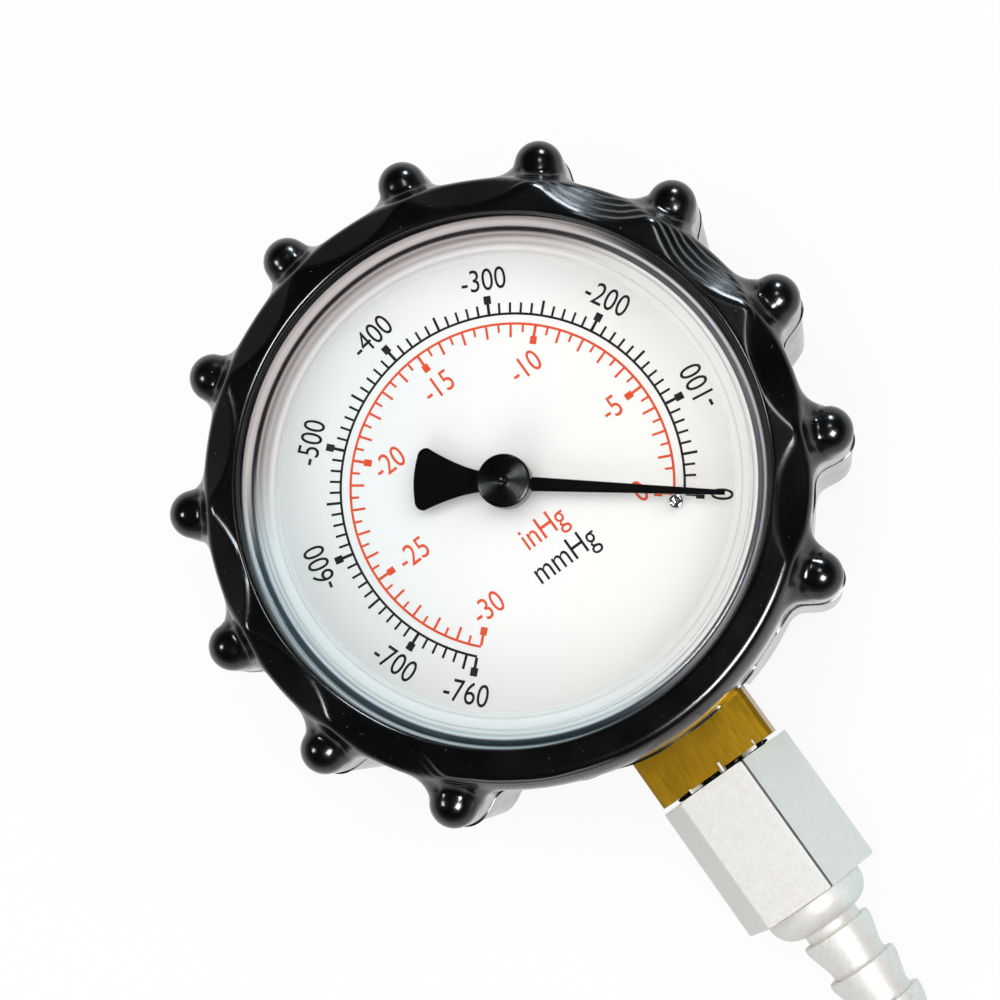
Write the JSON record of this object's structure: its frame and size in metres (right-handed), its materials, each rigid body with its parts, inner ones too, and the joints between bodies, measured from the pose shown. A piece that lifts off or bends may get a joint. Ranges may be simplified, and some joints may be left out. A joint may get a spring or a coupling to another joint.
{
  "type": "vacuum gauge",
  "caption": "Round dial vacuum gauge in a lugged rubber boot, with its Bourdon-tube movement, a square brass stem and a hexagon coupling with a barbed hose tail.",
  "frame": {"origin": "centre of the boot's back face, on the axis of the pointer", "axes": "the gauge lies on its back: +Z faces the reader of the dial, +Y is twelve o'clock, and the stem and its hose tail point to -Y"},
  "size_m": [0.0723, 0.1099, 0.033],
  "materials": {
    "boot_rubber": "glossy moulded black rubber",
    "case_plastic": "satin black plastic",
    "lens_plastic": "clear plastic",
    "dial_white": "white print ground",
    "pointer_black": "semi-gloss black",
    "brass": "brushed brass",
    "movement_brass": "stamped brass",
    "tube_bronze": "drawn bronze",
    "spring_bronze": "bronze ribbon",
    "bright_steel": "bright steel",
    "zinc_plate": "zinc-plated steel",
    "tape_white": "white sealing tape"
  },
  "bodies": {
    "housing": {"rubber_boot": "boot_rubber", "case": "case_plastic", "lens": "lens_plastic", "dial": "dial_white", "stop_pin": "bright_steel", "hairspring": "spring_bronze", "hairspring_stud": "movement_brass", "bourdon_tube": "tube_bronze", "back_plate": "movement_brass", "front_plate": "movement_brass", "plate_pillars": "movement_brass", "plate_screws": "bright_steel", "movement_screws": "bright_steel", "case_screws": "bright_steel", "brass_socket": "brass", "thread_tape": "tape_white", "hose_coupling": "zinc_plate"},
    "pointer_train": {"pointer": "pointer_black", "pointer_hub": "pointer_black", "pinion_arbor": "movement_brass", "hairspring_collet": "movement_brass"},
    "sector": {"sector_gear": "movement_brass", "sector_shaft": "bright_steel", "tail_pin": "bright_steel"},
    "link_bar": {"link": "movement_brass"},
    "tip": {"tube_tip": "movement_brass", "tip_pin": "bright_steel"}
  },
  "joints": [
    {"name": "pointer_turn", "type": "hinge", "parent": "housing", "child": "pointer_train", "pos_m": [0, 0, 0.0171], "axis": [0, 0, 1], "range_deg": [0, 262], "stiffness_Nm_per_rad": 0.000004, "deforming": ["hairspring"]},
    {"name": "sector_swing", "type": "hinge", "parent": "housing", "child": "sector", "pos_m": [0, -0.01575, 0.0171], "axis": [0, 0, 1], "range_deg": [-32.75, 0]},
    {"name": "link_swing", "type": "hinge", "parent": "sector", "child": "link_bar", "pos_m": [0.00332, -0.01759, 0.0177], "axis": [0, 0, 1], "range_deg": [0, 32.33]},
    {"name": "tip_swing", "type": "hinge", "parent": "housing", "child": "tip", "pos_m": [-0.00254, 0.00544, 0.009], "axis": [0, 0, 1], "range_deg": [-6.22, 0], "deforming": ["bourdon_tube"]}
  ],
  "couplings": [
    {"joint": "sector_swing", "follows": "pointer_turn", "ratio": -0.125},
    {"joint": "link_swing", "follows": "pointer_turn", "ratio": 0.12336},
    {"joint": "tip_swing", "follows": "pointer_turn", "ratio": -0.023702}
  ]
}
